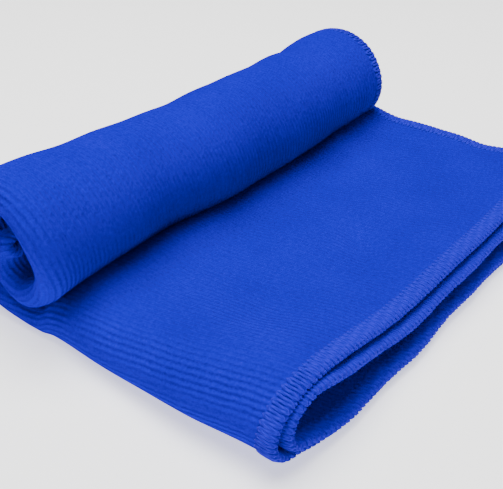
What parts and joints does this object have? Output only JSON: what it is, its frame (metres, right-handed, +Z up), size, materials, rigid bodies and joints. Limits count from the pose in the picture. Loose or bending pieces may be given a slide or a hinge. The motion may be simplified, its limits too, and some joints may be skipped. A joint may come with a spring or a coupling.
{
  "type": "microfibre polishing cloth",
  "caption": "Soft knitted microfibre car-polishing cloth with overlocked edges, folded twice into a strip and rolled up from its folded end.",
  "frame": {"origin": "middle of the underside of the folded and rolled cloth", "axes": "+X along the strip from the roll to the hem end, +Y across it from the folded side to the open side, +Z up"},
  "size_m": [0.1048, 0.1501, 0.0412],
  "materials": {
    "knit_cloth": "soft plush knit",
    "looper_thread": "fine textured thread",
    "needle_thread": "fine textured thread"
  },
  "bodies": {
    "rolled_part": {"lower_side_hem_lower_looper": "looper_thread", "lower_side_hem_needle_thread": "needle_thread", "lower_side_hem_upper_looper": "looper_thread", "rolled_cloth": "knit_cloth", "upper_side_hem_lower_looper": "looper_thread", "upper_side_hem_needle_thread": "needle_thread", "upper_side_hem_upper_looper": "looper_thread"},
    "free_end": {"inner_end_hem_lower_looper": "looper_thread", "inner_end_hem_needle_thread": "needle_thread", "inner_end_hem_upper_looper": "looper_thread", "inner_leaf_free_end": "knit_cloth", "lower_side_hem_lower_looper_free_end": "looper_thread", "lower_side_hem_needle_thread_free_end": "needle_thread", "lower_side_hem_upper_looper_free_end": "looper_thread", "outer_end_hem_lower_looper": "looper_thread", "outer_end_hem_needle_thread": "needle_thread", "outer_end_hem_upper_looper": "looper_thread", "outer_leaf_free_end": "knit_cloth", "upper_side_hem_lower_looper_free_end": "looper_thread", "upper_side_hem_needle_thread_free_end": "needle_thread", "upper_side_hem_upper_looper_free_end": "looper_thread"}
  },
  "joints": [
    {"name": "free_end_lift", "type": "hinge", "parent": "rolled_part", "child": "free_end", "pos_m": [-0.00684, 0, 0.0069], "axis": [0, -1, 0], "range_deg": [0, 80]}
  ]
}
